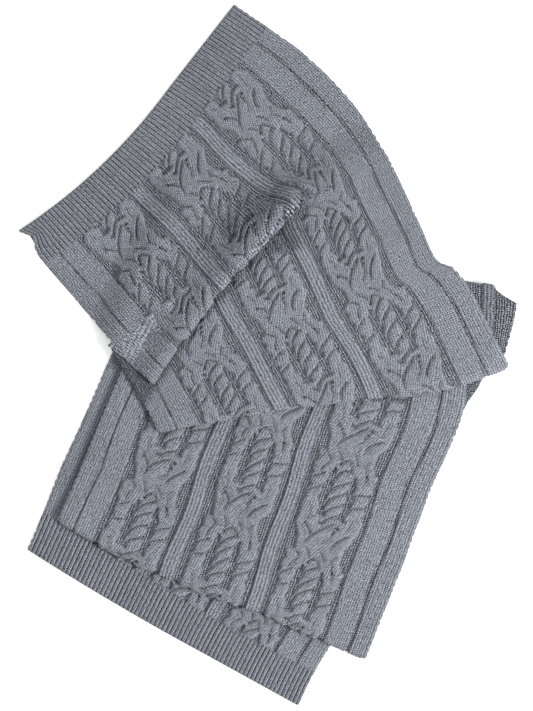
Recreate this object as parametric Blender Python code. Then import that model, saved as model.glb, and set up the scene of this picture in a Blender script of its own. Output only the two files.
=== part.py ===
"""A wide cable-knit scarf with ribbed ends, laid flat in loose folds.

The scarf is one knitted strip, about 360 mm wide. It lies in stretches that cover one another:
the upper stretch comes from the first ribbed end, has one slanting pleat and turns under at its
front fold; the upper return goes back under it; the middle stretch comes forward again and turns
under at its own front fold; the lower return goes back; the lower stretch lies on the table and
ends in the second ribbed end. The origin is on the table under the middle of the scarf, +Z is up
and the front folds face -Y.
"""
import math
from collections import namedtuple

import bmesh
import bpy
from mathutils import Vector

MM = 0.001

# Driving dimensions, in millimetres.
WALL = 2.6            # the knitted cloth, its cables pressed flat
AIR = 0.8             # left between two layers
PLY = WALL + AIR      # one layer to the next
CREASE_AT = 0.77      # how far across the width the pleat runs out, from the left edge
PLEAT_FADE = 0.055    # share of the width over which the pleat opens out, either side of that
PLEAT_COVER = 45.0    # the upper stretch covers the tucked cloth for this length before the crest
PLEAT_RISE = 60.0     # and climbs onto it over this one
NO_TUCK = 1.0         # a tuck shorter than this has no direction of its own
OPEN_LENGTH = 12.0    # length of the slope where the pleat has opened out
PILE_SLOPE = 46.0     # the upper stretch comes down from the pile over this distance
UPPER_SLOPE = 38.0    # and over this one past the pile's right side
RETURN_SLOPE = 32.0   # the upper return comes down a little faster under it
POINT_SLOPE = 14.0    # and the point of the lower return faster still
FRONT_TAIL = 26.0     # cloth that runs back under a front fold
BACK_TAIL = 10.0      # cloth that runs forward under a rear fold
TURN_STEPS = 6        # facets round a fold
TAIL_STEPS = 2        # facets along the cloth past it

COLUMNS = 20          # facets across a full-width stretch
NARROW_COLUMNS = 5    # facets across what shows of a return
COURSE_STEPS = 3      # facets from one table row to the next
PLEAT_STEPS = 3       # facets along the tucked cloth

SLATE = (0.235, 0.262, 0.306, 1.0)
KNIT_ROUGHNESS = 0.92

# Layers under each stretch, counted from the table.
LOWER, LOWER_RETURN, MIDDLE, UPPER_RETURN, UPPER = range(5)

# One row for each knitted course that sets a shape, in millimetres from the origin: where it meets
# the left edge, the line on which the pleat runs out and the right edge, and how far the part left
# of that line bows towards the next row.
Course = namedtuple("Course", "name left_x left_y crease_x crease_y right_x right_y bow")

UPPER_BEFORE_PLEAT = (
    Course("ribbed end", -260, 130, -84, 303, -34, 367, 12),
    Course("rib meets body", -232, 97, -46, 282, 4, 341, 8),
    Course("first cables", -192, 51, -7, 254, 42, 313, 3),
    Course("pile begins", -158, 7, 24, 221, 87, 268, -4),
    Course("pleat's crest", -122, -26, 48, 185, 115, 232, -6),
)
UPPER_AFTER_PLEAT = (
    Course("pleat's root", -152, 4, 48, 185, 115, 232, 0),
    Course("shoulder", -146, -18, 80, 128, 152, 153, -2),
    Course("waist", -136, -37, 108, 74, 185, 94, -3),
    Course("corner", -126, -56, 137, 23, 219, 50, -4),
    Course("front fold", -115, -75, 166, -31, 250, -9, -4),
)
MIDDLE_COURSES = (
    Course("under the upper stretch", -137, 18, 144, 29, 228, 32, 0),
    Course("clear of it", -160, -36, 122, -48, 206, -52, 0),
    Course("half way", -180, -84, 96, -119, 176, -129, 2),
    Course("last cables", -198, -126, 68, -189, 143, -208, 4),
    Course("front fold", -216, -167, 37, -280, 107, -312, 7),
)
LOWER_COURSES = (
    Course("rear edge", -85, 172, 159, 93, 232, 69, 0),
    Course("left edge shows", -160, 5, 111, -17, 192, -24, 0),
    Course("under the middle", -187, -56, 72, -104, 150, -118, 0),
    Course("last cables", -212, -112, 28, -200, 100, -226, 0),
    Course("body meets rib", -234, -161, -14, -293, 50, -331, 2),
    Course("ribbed end", -250, -201, -32, -331, 33, -367, 2),
)
UPPER_RETURN_COURSES = (
    Course("behind the front fold", 192, 11, 240, 24, 252, 27, 0),
    Course("right corner", 188, 45, 241, 41, 256, 40, 0),
    Course("rear fold", 186, 76, 237, 68, 259, 55, 0),
)
LOWER_RETURN_COURSES = (
    Course("under the upper stretch", 203, -5, 222, -9, 231, -12, 0),
    Course("point", 200, -46, 204, -48, 207, -51, 0),
)

# The sides of the pile that the upper stretch lies on, each with the pile on its right.
Side = namedtuple("Side", "name from_x from_y to_x to_y")
PILE_SIDES = (
    Side("rear fold", -121, 175, 238, 69),
    Side("left edges", -160, 5, -85, 172),
)
RIGHT_SIDE = Side("right edges", 252, 66, 218, -27)

# The cloth that never shows, one row for each hidden layer, by its four corners.
Hidden = namedtuple("Hidden", "layer rear_left rear_right front_right front_left")
HIDDEN_LAYERS = (
    Hidden(LOWER_RETURN, (-74, 146), (200, 62), (108, -262), (-192, -130)),
    Hidden(MIDDLE, (-72, 144), (170, 70), (170, 41), (-126, 26)),
    Hidden(UPPER_RETURN, (-78, 142), (172, 68), (172, 6), (-108, -36)),
)
HIDDEN_ROUNDING = 1.1      # how far each hidden layer's rim curves in above and below
HIDDEN_CORNER = 22.0       # radius of its corners in plan
SIDE_POINTS = 6            # points along each side of a hidden layer
CORNER_POINTS = 4          # points round each of its corners


def clear_scene():
    for item in list(bpy.data.objects):
        bpy.data.objects.remove(item, do_unlink=True)


def knit_material(name):
    material = bpy.data.materials.new(name)
    material.use_nodes = True
    shader = material.node_tree.nodes["Principled BSDF"]
    shader.inputs["Base Color"].default_value = SLATE
    shader.inputs["Roughness"].default_value = KNIT_ROUGHNESS
    shader.inputs["Metallic"].default_value = 0.0
    return material


def ease(x):
    """0 below 0, 1 above 1 and a soft slope between."""
    x = min(1.0, max(0.0, x))
    return x * x * (3 - 2 * x)


def smooth_between(values, position):
    """A smooth curve through evenly spaced values, read at a position counted in steps."""
    last = len(values) - 1
    step = min(int(position), last - 1)
    t = position - step
    before = values[max(step - 1, 0)]
    start = values[step]
    end = values[step + 1]
    after = values[min(step + 2, last)]
    pull_start = (end - before) / 2
    pull_end = (after - start) / 2
    bend = 3 * (end - start) - 2 * pull_start - pull_end
    twist = 2 * (start - end) + pull_start + pull_end
    return start + pull_start * t + bend * t * t + twist * t * t * t


def on_course(course, u):
    """Plan position of a course at u, the share of the width from the left edge."""
    left = Vector((course.left_x, course.left_y))
    crease = Vector((course.crease_x, course.crease_y))
    right = Vector((course.right_x, course.right_y))
    if u > CREASE_AT:
        return crease.lerp(right, (u - CREASE_AT) / (1 - CREASE_AT))
    share = u / CREASE_AT
    along = (crease - left).normalized()
    forward = Vector((along.y, -along.x))
    return left.lerp(crease, share) + forward * course.bow * 4 * share * (1 - share)


def plan_path(courses, u):
    """Plan positions down one column of a stretch, from its first course to its last."""
    anchors = [on_course(course, u) for course in courses]
    count = (len(courses) - 1) * COURSE_STEPS
    return [smooth_between(anchors, k / COURSE_STEPS) for k in range(count + 1)]


def heading(path):
    """Direction in which a path ends."""
    return (path[-1] - path[-2]).normalized()


def outside(side, point):
    """Distance of a plan point past a side, which is listed with the pile on its right."""
    start = Vector((side.from_x, side.from_y))
    along = (Vector((side.to_x, side.to_y)) - start).normalized()
    return Vector((-along.y, along.x)).dot(point - start)


def pile_share(point):
    """1 over the pile, falling softly to 0 behind its rear fold and past its left side."""
    rear, left = PILE_SIDES
    behind = 1 - ease(outside(rear, point) / PILE_SLOPE)
    beside = 1 - ease(outside(left, point) / PILE_SLOPE)
    return behind * beside


def layer_height(point, layers, overhanging, slope):
    """Middle of a layer above the table. Past the pile's right side only the overhanging layers,
    out of those under it, are still there, and it comes down onto them over slope."""
    supported = 1 - ease(outside(RIGHT_SIDE, point) / slope)
    plies = overhanging + (layers - overhanging) * supported
    return WALL / 2 + plies * PLY * pile_share(point)


def upper_height(point):
    return layer_height(point, UPPER, 1, UPPER_SLOPE)


def upper_return_height(point):
    return layer_height(point, UPPER_RETURN, 0, RETURN_SLOPE)


def turn_under(path, heights, tail, height_below):
    """Carries a column round a fold and back, one layer lower: adds the fold's facets and a tail."""
    direction = heading(path)
    edge = path[-1]
    top = heights[-1]
    radius = PLY / 2
    for k in range(1, TURN_STEPS + 1):
        angle = math.pi * k / TURN_STEPS
        path.append(edge + direction * radius * math.sin(angle))
        heights.append(top - radius * (1 - math.cos(angle)))
    for k in range(1, TAIL_STEPS + 1):
        point = edge - direction * tail * k / TAIL_STEPS
        path.append(point)
        heights.append(height_below(point))


def pleat(before, after, lift, u):
    """The tucked cloth between two paths of one column, as plan positions and lifts above the pile.

    Left of the crease line it is a flat S: a turn at the crest, cloth running back and a turn at
    the root. Past that line it opens out into a slope that fades away.
    """
    forward = heading(before)
    crest = before[-1]
    root = after[0]
    radius = PLY / 2
    tuck = (crest - root).length
    count = 2 * TURN_STEPS + PLEAT_STEPS
    opened = ease((u - CREASE_AT + PLEAT_FADE) / PLEAT_FADE)
    points = []
    lifts = []
    for k in range(1, count):
        if k <= TURN_STEPS:
            angle = math.pi * k / TURN_STEPS
            tucked = crest + forward * radius * math.sin(angle)
            height = 2 * PLY - radius * (1 - math.cos(angle))
        elif k < TURN_STEPS + PLEAT_STEPS:
            share = (k - TURN_STEPS) / PLEAT_STEPS
            tucked = crest.lerp(root, share)
            height = PLY
        else:
            angle = math.pi * (k - TURN_STEPS - PLEAT_STEPS) / TURN_STEPS
            inward = (root - crest).normalized() if tuck > NO_TUCK else -forward
            tucked = root + inward * radius * math.sin(angle)
            height = PLY - radius * (1 - math.cos(angle))
        share = k / count
        slope = crest + forward * OPEN_LENGTH * share
        points.append(tucked.lerp(slope, opened))
        lifts.append(height * (1 - opened) + lift * (1 - ease(share)) * opened)
    return points, lifts


def cloth(name, columns, column_path, material):
    """A closed sheet. column_path gives the middle of the cloth down each column, in millimetres."""
    paths = [column_path(i / columns) for i in range(columns + 1)]
    rows = len(paths[0]) - 1
    mesh_maker = bmesh.new()
    bmesh.ops.create_grid(mesh_maker, x_segments=columns, y_segments=rows, size=0.5)
    for vert in mesh_maker.verts:
        column = round((vert.co.x + 0.5) * columns)
        row = round((0.5 - vert.co.y) * rows)
        vert.co = paths[column][row] * MM
    mesh = bpy.data.meshes.new(name)
    mesh_maker.to_mesh(mesh)
    mesh_maker.free()
    mesh.shade_smooth()
    sheet = bpy.data.objects.new(name, mesh)
    bpy.context.collection.objects.link(sheet)
    mesh.materials.append(material)
    thickness = sheet.modifiers.new("Cloth thickness", "SOLIDIFY")
    thickness.thickness = WALL * MM
    thickness.offset = 0.0
    return sheet


def raised(path, heights):
    return [Vector((point.x, point.y, height)) for point, height in zip(path, heights)]


def upper_column(u):
    """From the first ribbed end, over the pile and the pleat, round the front fold."""
    before = plan_path(UPPER_BEFORE_PLEAT, u)
    after = plan_path(UPPER_AFTER_PLEAT, u)
    fullness = 1 - ease((u - CREASE_AT + PLEAT_FADE) / (2 * PLEAT_FADE))
    lift = 2 * PLY * fullness
    to_crest = [0.0]
    for near, far in zip(reversed(before[1:]), reversed(before[:-1])):
        to_crest.insert(0, to_crest[0] + (near - far).length)
    path = list(before)
    heights = [
        upper_height(point) + lift * (1 - ease((distance - PLEAT_COVER) / PLEAT_RISE))
        for point, distance in zip(before, to_crest)
    ]
    points, lifts = pleat(before, after, lift, u)
    path += points
    heights += [upper_height(point) + rise for point, rise in zip(points, lifts)]
    if u > CREASE_AT - PLEAT_FADE:
        after[0] = before[-1] + heading(before) * OPEN_LENGTH
    path += after
    heights += [upper_height(point) for point in after]
    turn_under(path, heights, FRONT_TAIL, upper_return_height)
    return raised(path, heights)


def middle_column(u):
    """From under the upper stretch to its front fold, and back under itself."""
    path = plan_path(MIDDLE_COURSES, u)
    heights = [WALL / 2 + MIDDLE * PLY] * len(path)
    turn_under(path, heights, FRONT_TAIL, lambda point: WALL / 2 + LOWER_RETURN * PLY)
    return raised(path, heights)


def lower_column(u):
    """Flat on the table, to the second ribbed end."""
    path = plan_path(LOWER_COURSES, u)
    heights = [WALL / 2 + LOWER * PLY] * len(path)
    return raised(path, heights)


def upper_return_column(u):
    """The corner that shows past the upper stretch, and its rear fold."""
    path = plan_path(UPPER_RETURN_COURSES, u)
    heights = [upper_return_height(point) for point in path]
    turn_under(path, heights, BACK_TAIL, lambda point: heights[-1])
    return raised(path, heights)


def lower_return_column(u):
    """The point that shows between the two front folds."""
    path = plan_path(LOWER_RETURN_COURSES, u)
    heights = [layer_height(point, LOWER_RETURN, 0, POINT_SLOPE) for point in path]
    return raised(path, heights)


def rounded_outline(layer, inset):
    """Plan outline of a hidden layer with round corners, moved in by inset."""
    corners = [Vector(layer.rear_left), Vector(layer.rear_right)]
    corners += [Vector(layer.front_right), Vector(layer.front_left)]
    middle = sum(corners, Vector((0, 0))) / len(corners)
    outline = []
    for k, corner in enumerate(corners):
        toward_last = (corners[k - 1] - corner).normalized()
        toward_next = (corners[(k + 1) % len(corners)] - corner).normalized()
        radius = min(HIDDEN_CORNER, (corners[k - 1] - corner).length / 3,
                     (corners[(k + 1) % len(corners)] - corner).length / 3)
        start = corner + toward_last * radius
        end = corner + toward_next * radius
        for j in range(CORNER_POINTS + 1):
            t = j / CORNER_POINTS
            outline.append(start.lerp(corner, t).lerp(corner.lerp(end, t), t))
        following = corners[(k + 1) % len(corners)]
        reach = min(HIDDEN_CORNER, (following - corner).length / 3)
        leave = following - toward_next * reach
        for j in range(1, SIDE_POINTS):
            outline.append(end.lerp(leave, j / SIDE_POINTS))
    return [point + (middle - point).normalized() * inset for point in outline]


def folded_core(name, material):
    """The layers that never show, as one solid with a rounded rim for each layer."""
    mesh_maker = bmesh.new()
    rings = []
    for layer in HIDDEN_LAYERS:
        base = layer.layer * PLY
        for height, inset in ((0, HIDDEN_ROUNDING), (WALL / 2, 0), (WALL, HIDDEN_ROUNDING)):
            outline = rounded_outline(layer, inset)
            rings.append([mesh_maker.verts.new((p.x * MM, p.y * MM, (base + height) * MM))
                          for p in outline])
    for lower, upper in zip(rings, rings[1:]):
        count = len(lower)
        for k in range(count):
            after = (k + 1) % count
            mesh_maker.faces.new((lower[after], lower[k], upper[k], upper[after]))
    mesh_maker.faces.new(rings[0])
    mesh_maker.faces.new(list(reversed(rings[-1])))
    bmesh.ops.recalc_face_normals(mesh_maker, faces=mesh_maker.faces)
    mesh = bpy.data.meshes.new(name)
    mesh_maker.to_mesh(mesh)
    mesh_maker.free()
    core = bpy.data.objects.new(name, mesh)
    bpy.context.collection.objects.link(core)
    mesh.materials.append(material)


def build_scarf():
    clear_scene()
    cloth("lower_stretch", COLUMNS, lower_column, knit_material("lower_stretch_knit"))
    cloth("lower_return", NARROW_COLUMNS, lower_return_column, knit_material("lower_return_knit"))
    cloth("middle_stretch", COLUMNS, middle_column, knit_material("middle_stretch_knit"))
    cloth("upper_return", NARROW_COLUMNS, upper_return_column, knit_material("upper_return_knit"))
    cloth("upper_stretch", COLUMNS, upper_column, knit_material("upper_stretch_knit"))
    folded_core("folded_core", knit_material("folded_core_knit"))


build_scarf()
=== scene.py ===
"""A wide cable-knit scarf with ribbed ends, laid flat in loose folds: its finished look."""
import math
from collections import namedtuple

import bmesh
import bpy
import numpy as np
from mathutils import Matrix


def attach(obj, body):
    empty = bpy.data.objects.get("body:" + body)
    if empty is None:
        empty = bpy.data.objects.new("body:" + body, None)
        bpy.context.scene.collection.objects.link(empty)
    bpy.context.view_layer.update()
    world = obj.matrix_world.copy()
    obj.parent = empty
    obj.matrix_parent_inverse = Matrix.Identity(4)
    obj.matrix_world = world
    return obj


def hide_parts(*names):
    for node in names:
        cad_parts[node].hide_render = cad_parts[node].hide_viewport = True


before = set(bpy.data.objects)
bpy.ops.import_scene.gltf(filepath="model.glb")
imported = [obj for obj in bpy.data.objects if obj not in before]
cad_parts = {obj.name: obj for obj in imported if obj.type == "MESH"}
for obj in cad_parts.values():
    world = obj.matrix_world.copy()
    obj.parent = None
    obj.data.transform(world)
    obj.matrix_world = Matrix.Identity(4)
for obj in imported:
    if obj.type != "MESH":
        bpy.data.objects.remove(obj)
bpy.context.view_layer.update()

MM = 0.001

# The knitted cloth, in millimetres.
WIDTH = 360.0
WALL = 2.6                # thickness of the cloth without its stitches
PLY = 3.4                 # one layer to the next
RIB_DEPTH = 43.0          # the ribbed band at each end
REPEAT = 111.6            # length of one cable repeat
STITCH_WIDTH = 2.6
STITCH_HEIGHT = 2.0
GRID = 1.0                # spacing of the modelled surface where it shows
COARSE_GRID = 6.0         # and where it is always covered

# The knit's stripes, from the left edge to the right.
Stripe = namedtuple("Stripe", "start end")
EDGE_BANDS = (Stripe(0.0, 18.2), Stripe(339.2, 360.0))      # fine ribs along the edge
PLAIN_STRIPS = (Stripe(21.2, 43.0), Stripe(309.8, 334.2))   # stocking stitch
DIVIDERS = (Stripe(120.2, 134.8), Stripe(215.8, 230.2))     # ribs between two cables
WRONG_SIDE_RIB = Stripe(328.5, 339.5)                       # what the wrong side shows of the gutter
CABLE_CENTRES = (81.6, 176.0, 270.4)
CABLE_HALF = 33.8         # half the width of a cable without its purl gutters
RIB_PITCH = 5.1
EDGE_PITCH = 4.2
SCALLOP_PITCH = 7.4       # the selvage is scalloped at this pitch
SCALLOP = 1.5             # by this much
SCALLOP_REACH = 3.0       # and the cloth this far in moves with it
DIVIDER_PITCH = 3.65
DIVIDER_SOFT = 1.2        # the stripes come down to the purl over these distances
STRIP_SOFT = 1.5
EDGE_SOFT = 1.3
STRIPE_WAVE = 1.3         # the cables pull the stripes beside them in and out by this much
WAVE_START = 0.12         # from this share of the repeat on
WAVE_CLEAR = 25.0         # and by less within this distance of a selvage
DIVIDER_RISE = 0.7        # heights of the stripes above the cloth's face
DIVIDER_RIB = 0.5
STRIP_RISE = 0.9
EDGE_RISE = 0.1
EDGE_RIB = 0.9
EDGE_ROUND = 0.8          # a power under 1 gives the ribs broad tops
COLUMN_RELIEF = 0.3       # how far the columns of stitches stand out on the cables
RIB_MIDDLE = 0.6          # about the mean height of ribs whose tops are 1
RIB_RISE = 2.6            # the end ribs from valley to top
RIB_VALLEY = -1.3
RIB_ROUND = 0.7
RIB_DARK = 1.2            # how much painted shade their valleys get
RIB_BLEND = 3.0           # the body turns to rib over this length
PLAIN_SHADE = 0.09        # painted shade: the plain stripes are made this much darker than the cables
EDGE_CURL = 1.4           # the selvage curls down by this much
EDGE_CURL_WIDTH = 2.2     # over this distance
END_CURL = 1.0            # and so do the ends
END_CURL_WIDTH = 2.5

# Layers under each stretch, counted from the table.
LOWER, LOWER_RETURN, MIDDLE, UPPER_RETURN, UPPER = range(5)

CREASE_AT = 0.66          # share of the width at which the pleat runs out, from the left edge

# Each stretch is three meshes, which meet in purl and between two end ribs.
SEAM_RIBS = (23, 46)
SEAMS = (0.0, SEAM_RIBS[0] * RIB_PITCH / WIDTH, SEAM_RIBS[1] * RIB_PITCH / WIDTH, 1.0)

# One row for each course that sets a shape. The places are in millimetres from the origin: where it
# meets the left edge, the line on which the pleat runs out and the right edge. The bows are how far
# each part bends towards the next row, and the knit columns say which course of the cable repeat
# lies at the three places, in millimetres past a crossing.
Course = namedtuple("Course", "name left_x left_y crease_x crease_y right_x right_y "
                              "bow right_bow knit_left knit_crease knit_right")

BEFORE_PLEAT = (
    Course("ribbed end", -260, 130, -102, 280, -34, 367, 10, 0, -177, -177, -177),
    Course("rib meets body", -232, 97, -67, 256, 1, 343, 10, 0, -134, -134, -134),
    Course("first openings", -196, 55, -35, 226, 42, 313, 6, 0, -81, -82, -93),
    Course("hollow", -160, 13, 0, 193, 90, 264, 2, 0, -33, -32, -40),
    Course("crest", -122, -26, 32, 157, 128, 206, -9, 0, 11, 19, 20),
)
AFTER_PLEAT = (
    Course("root", -163, 9, 32, 157, 128, 206, 0, 0, 88, 19, 20),
    Course("shoulder", -155, -3, 47, 121, 145, 170, 0, 0, 104, 64, 65),
    Course("second openings", -148, -15, 63, 86, 162, 133, -2, 0, 120, 110, 112),
    Course("pile begins", -141, -27, 76, 61, 177, 100, -2, 0, 137, 139, 143),
    Course("pile top", -137, -34, 83, 46, 195, 91, -2, 0, 146, 155, 161),
    Course("waist", -131, -46, 96, 23, 213, 67, -3, 1, 161, 183, 187),
    Course("corner", -123, -59, 111, -5, 231, 31, -4, 3, 178, 214, 222),
    Course("front fold", -115, -75, 127, -37, 251, -7, -5, 5, 198, 250, 266),
)
MIDDLE_COURSES = (
    Course("under the upper stretch", -137, 18, 96, 24, 209, 32, 0, 0, -104, -207, -264),
    Course("clear of it", -157, -28, 72, -48, 206, -55, 0, 0, -52, -128, -174),
    Course("half way", -177, -75, 48, -120, 171, -141, 2, 0, 1, -49, -78),
    Course("last cables", -196, -121, 24, -192, 140, -224, 4, 0, 53, 30, 17),
    Course("front fold", -216, -167, 0, -264, 105, -312, 7, 0, 105, 110, 112),
)
LOWER_COURSES = (
    Course("rear edge", -85, 172, 144, 89, 232, 69, 0, 0, -307, -356, -380),
    Course("left edge shows", -160, 5, 77, -57, 188, -42, 0, 0, -124, -195, -261),
    Course("under the middle", -191, -66, 35, -130, 142, -135, 0, 0, -46, -111, -158),
    Course("last cables", -215, -118, -4, -214, 100, -245, 0, 0, 11, -18, -40),
    Course("body meets rib", -233, -164, -46, -281, 50, -331, 0, 0, 60, 60, 60),
    Course("ribbed end", -250, -203, -63, -313, 33, -366, 2, 0, 103, 103, 103),
)
UPPER_RETURN_COURSES = (
    Course("behind the front fold", 192, -12, 232, -4, 248, 1, 0, 0, 0, 0, 0),
    Course("right corner", 188, 45, 234, 44, 258, 40, 0, 0, 57, 48, 39),
    Course("rear fold", 186, 78, 235, 70, 260, 53, 0, 2, 90, 74, 52),
)
LOWER_RETURN_COURSES = (
    Course("under the upper stretch", 200, -5, 220, -14, 231, -17, 0, 0, 0, 0, 0),
    Course("point", 200, -50, 203, -52, 207, -54, 0, 0, 40, 36, 34),
)

# The sides of the pile that the upper stretch lies on, each with the pile on its right.
Side = namedtuple("Side", "name from_x from_y to_x to_y")
REAR_FOLD = Side("rear fold", -121, 175, 238, 69)
LEFT_EDGES = Side("left edges", -160, 5, -85, 172)
RIGHT_EDGES = Side("right edges", 252, 66, 218, -27)
PILE_SLOPE = 38.0         # the upper stretch comes down from the pile over this distance
UPPER_SLOPE = 38.0        # and over this one past the pile's right side
RETURN_SLOPE = 32.0
POINT_SLOPE = 14.0

# Folds
ROLL_STEPS = 12           # rows round a fold
TUCK_STEPS = 8            # rows along the tucked cloth
ROLL_REACH = 5.0          # how far a fold's round edge reaches past its last course
FOLD_CORNER = 9.0         # and at each selvage its corner is rounded over this distance
FOLD_LEAST = 0.12         # down to this share of the reach
FOLD_SWELL = 2.2          # how far the cloth swells just before a fold
FOLD_SWELL_AT = 4.0       # this far from it
FOLD_SWELL_LENGTH = 16.0
FOLD_KNIT = 1.6           # knit taken up by each row round a fold
TAIL = 24.0               # cloth that runs back under a front fold
TAIL_ROWS = 4
RETURN_REACH = 2.2        # the returns are folded flatter
RETURN_DROP = 2.2         # down to this far below them
RETURN_DARK = 0.45        # and get painted shade for what lies over them
RETURN_WIDTH = 68.0       # of the upper return this much is made, from the scarf's right edge
POINT_WIDTH = 34.0        # and this much of the lower one
WRONG_SIDE_RELIEF = -0.5  # the wrong side has the right side's relief, sunk and flatter
NO_END_RIB = -WIDTH

# The underside has a vertex for so many of the face's, and more of them at a fold.
BACK_STEP = 8
RETURN_BACK_STEP = 6
FOLD_BACK_STEP = 2
FOLD_MARGIN = 6           # rows that count as the fold's on either side of it
RETURN_MARGIN = 4
COVERED_ROWS = 12         # the middle stretch's first rows, which are coarse already
LOWER_EDGE_GRID = 1.4     # where only the lower stretch's left edge shows
LOWER_GRID = 1.2
LEAST_HEIGHT = 0.1        # the knit's face is never nearer the table

# The cloth that never shows, one row for each hidden layer, by its four corners.
Hidden = namedtuple("Hidden", "layer rear_left rear_right front_right front_left")
HIDDEN_LAYERS = (
    Hidden(LOWER_RETURN, (-74, 146), (200, 62), (108, -262), (-192, -130)),
    Hidden(MIDDLE, (-72, 144), (170, 70), (170, 41), (-126, 26)),
    Hidden(UPPER_RETURN, (-78, 142), (172, 68), (172, 6), (-108, -36)),
)
HIDDEN_ROUNDING = 1.0
RIM_STEPS = 3
CORE_SMOOTH_ANGLE = 40.0
HIDDEN_CORNER = 9.0
CORNER_POINTS = 7
SIDE_POINTS = 18


def ease(x):
    """0 below 0, 1 above 1 and a soft slope between."""
    x = np.clip(x, 0.0, 1.0)
    return x * x * (3 - 2 * x)


def mix(a, b, share):
    return a + (b - a) * share


def falling(distance, reach):
    """1 at no distance, falling off softly over about the reach."""
    return np.exp(-(distance / reach) ** 2)


def rounded(distance, reach):
    """A round shoulder: 0 at no distance, rising to 1 at the reach."""
    return np.sin(math.pi / 2 * np.clip(distance / reach, 0, 1))


def unit(vectors):
    return vectors / np.maximum(np.linalg.norm(vectors, axis=-1, keepdims=True), 1e-9)


def round_repeat(down):
    """A distance down the knit, taken the short way round the cable repeat."""
    return (down + REPEAT / 2) % REPEAT - REPEAT / 2


def smooth_table(columns, position):
    """Smooth curves through evenly spaced rows of numbers, read at positions counted in rows."""
    columns = np.asarray(columns, float)
    position = np.asarray(position, float)
    last = len(columns) - 1
    step = np.clip(position.astype(int), 0, last - 1)
    t = (position - step).reshape(position.shape + (1,) * (columns.ndim - 1))
    before = columns[np.maximum(step - 1, 0)]
    start = columns[step]
    end = columns[step + 1]
    after = columns[np.minimum(step + 2, last)]
    pull_start = (end - before) / 2
    pull_end = (after - start) / 2
    bend = 3 * (end - start) - 2 * pull_start - pull_end
    twist = 2 * (start - end) + pull_start + pull_end
    return start + pull_start * t + bend * t ** 2 + twist * t ** 3


def through(stops, values, x):
    """A smooth curve through unevenly spaced stops."""
    stops = np.asarray(stops, float)
    values = np.asarray(values, float)
    slopes = np.gradient(values, stops)
    step = np.clip(np.searchsorted(stops, x) - 1, 0, len(stops) - 2)
    length = stops[step + 1] - stops[step]
    t = np.clip((x - stops[step]) / length, 0, 1)
    start_share = (1 + 2 * t) * (1 - t) ** 2
    end_share = t * t * (3 - 2 * t)
    start_pull = t * (1 - t) ** 2 * length * slopes[step]
    end_pull = t * t * (t - 1) * length * slopes[step + 1]
    return start_share * values[step] + end_share * values[step + 1] + start_pull + end_pull


# ---------------------------------------------------------------------------------------------
# The knit: one cable repeat, worked out as a swatch, and the stripes across the width.

# The cable is charted on its repeat. A place is (down, across): down the repeat from 0 to 1, and
# across the cable from -1 at its left side to 1 at its right.

# Where the cable stands up from the purl: one row for each place down the repeat.
Ground = namedtuple("Ground", "down left right")

GROUNDS = {
    "crossing": (
        Ground(-0.08, -1.0, 1.0), Ground(0.02, -1.0, 0.99), Ground(0.08, -0.97, 0.95),
        Ground(0.14, -0.89, 0.85), Ground(0.22, -0.82, 0.77), Ground(0.30, -0.77, 0.77),
        Ground(0.36, -0.80, 0.80), Ground(0.40, -0.84, 0.86), Ground(0.47, -0.80, 0.80),
    ),
    "left pair": (
        Ground(0.31, -0.84, -0.70), Ground(0.34, -0.97, -0.52), Ground(0.38, -0.99, -0.40),
        Ground(0.44, -1.01, -0.34), Ground(0.52, -1.00, -0.42), Ground(0.60, -0.98, -0.49),
        Ground(0.70, -0.96, -0.51), Ground(0.80, -0.98, -0.49), Ground(0.90, -1.01, -0.45),
        Ground(1.0, -1.02, -0.34),
    ),
    "rope": (
        Ground(0.40, -0.22, 0.26), Ground(0.46, -0.25, 0.28), Ground(0.56, -0.28, 0.26),
        Ground(0.70, -0.27, 0.25), Ground(0.84, -0.27, 0.26), Ground(0.94, -0.22, 0.24),
        Ground(1.0, -0.18, 0.24),
    ),
    "right pair": (
        Ground(0.33, 0.42, 0.84), Ground(0.38, 0.36, 0.96), Ground(0.44, 0.34, 0.98),
        Ground(0.52, 0.41, 0.99), Ground(0.60, 0.44, 0.97), Ground(0.70, 0.46, 0.95),
        Ground(0.80, 0.46, 0.97), Ground(0.90, 0.44, 0.99), Ground(1.0, 0.40, 1.0),
    ),
}

# The strands bulge at the sides between their creases: where a crease meets the left side and the
# right one, how far apart the creases are and how far the strands stand out.
Bulge = namedtuple("Bulge", "left_at right_at pitch size")
ROPE_TURN = 0.123         # one turn of the rope, as a share of the repeat
ROPE_TURNS = 5
BULGES = {
    "crossing": Bulge(0.0, 0.0, 0.2, 0.03), "left pair": Bulge(0.68, 0.52, 0.13, 0.07),
    "rope": Bulge(0.54, 0.40, ROPE_TURN, 0.08), "right pair": Bulge(0.69, 0.58, 0.12, 0.07),
}

# The lines where one strand goes over another, each from its lower end to its upper one. A swing of
# 1 leaves both ends upright and slants the middle, and 0 is straight. The strand on top is the one
# up to the left of a line that leans right, and down to the left of one that leans left.
Crease = namedtuple("Crease", "depth low_down low_across high_down high_across swing")

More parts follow.
